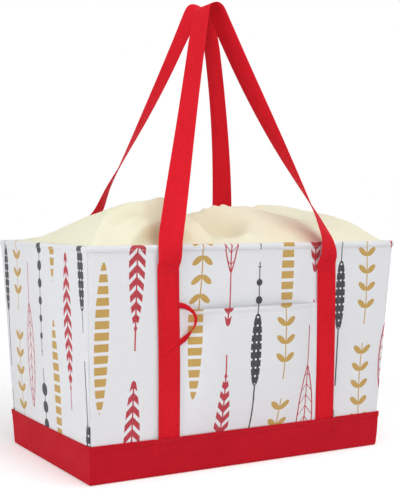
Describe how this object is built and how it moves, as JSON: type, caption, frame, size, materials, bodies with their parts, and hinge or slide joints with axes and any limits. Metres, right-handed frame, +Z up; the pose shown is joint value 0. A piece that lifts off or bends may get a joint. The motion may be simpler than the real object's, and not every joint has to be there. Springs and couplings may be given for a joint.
{
  "type": "cooler bag",
  "caption": "Soft insulated shopping bag with long webbing handles, a red base band, a patch pocket, a ribbon loop and a gathered cloth cover that folds inward.",
  "frame": {"origin": "middle of the underside, on the floor", "axes": "+X along the front to the right, -Y out of the front with the pocket, +Z up"},
  "size_m": [0.4672, 0.3397, 0.6201],
  "materials": {
    "printed_cloth": "matte",
    "red_cloth": "matte",
    "webbing": "matte",
    "ribbon": "satin",
    "cover_cloth": "matte",
    "foam": "matte",
    "foil": "satin",
    "board": "matte"
  },
  "bodies": {
    "bag": {"back_band": "red_cloth", "back_foam": "foam", "back_hem": "printed_cloth", "back_lining": "foil", "back_panel": "printed_cloth", "back_strap_left": "webbing", "back_strap_right": "webbing", "base_cloth": "red_cloth", "floor_foam": "foam", "floor_lining": "foil", "front_band": "red_cloth", "front_foam": "foam", "front_hem": "printed_cloth", "front_lining": "foil", "front_panel": "printed_cloth", "front_pocket": "printed_cloth", "front_strap_left": "webbing", "front_strap_right": "webbing", "left_band": "red_cloth", "left_foam": "foam", "left_hem": "printed_cloth", "left_lining": "foil", "left_panel": "printed_cloth", "right_band": "red_cloth", "right_foam": "foam", "right_hem": "printed_cloth", "right_lining": "foil", "right_panel": "printed_cloth"},
    "front_cover": {"front_cover": "cover_cloth"},
    "right_cover": {"right_cover": "cover_cloth"},
    "back_cover": {"back_cover": "cover_cloth"},
    "left_cover": {"left_cover": "cover_cloth"},
    "front_handle": {"front_handle": "webbing"},
    "back_handle": {"back_handle": "webbing"},
    "ribbon_loop": {"ribbon_loop": "ribbon"},
    "base_board": {"base_board": "board"}
  },
  "joints": [
    {"name": "front_handle_fold", "type": "hinge", "parent": "bag", "child": "front_handle", "pos_m": [0, -0.15568, 0.262], "axis": [1, 0, 0], "range_deg": [0, 148]},
    {"name": "back_handle_fold", "type": "hinge", "parent": "bag", "child": "back_handle", "pos_m": [0, 0.15458, 0.262], "axis": [-1, 0, 0], "range_deg": [0, 148]},
    {"name": "front_cover_fold", "type": "hinge", "parent": "bag", "child": "front_cover", "pos_m": [0, -0.14756, 0.2888], "axis": [-1, 0, 0], "range_deg": [0, 88]},
    {"name": "back_cover_fold", "type": "hinge", "parent": "bag", "child": "back_cover", "pos_m": [0, 0.14756, 0.2888], "axis": [1, 0, 0], "range_deg": [0, 88]},
    {"name": "left_cover_fold", "type": "hinge", "parent": "bag", "child": "left_cover", "pos_m": [-0.22506, 0, 0.2888], "axis": [0, 1, 0], "range_deg": [0, 88]},
    {"name": "right_cover_fold", "type": "hinge", "parent": "bag", "child": "right_cover", "pos_m": [0.22506, 0, 0.2888], "axis": [0, -1, 0], "range_deg": [0, 88]},
    {"name": "ribbon_loop_swing", "type": "hinge", "parent": "bag", "child": "ribbon_loop", "pos_m": [-0.10596, -0.14991, 0.193], "axis": [0.0467, 0.079, -0.9958], "range_deg": [0, 85]},
    {"name": "base_board_lift", "type": "slide", "parent": "bag", "child": "base_board", "axis": [0, 0, 1], "range_m": [0, 0.08]}
  ],
  "couplings": [
    {"joint": "back_cover_fold", "follows": "front_cover_fold", "ratio": 1},
    {"joint": "left_cover_fold", "follows": "front_cover_fold", "ratio": 1},
    {"joint": "right_cover_fold", "follows": "front_cover_fold", "ratio": 1}
  ]
}
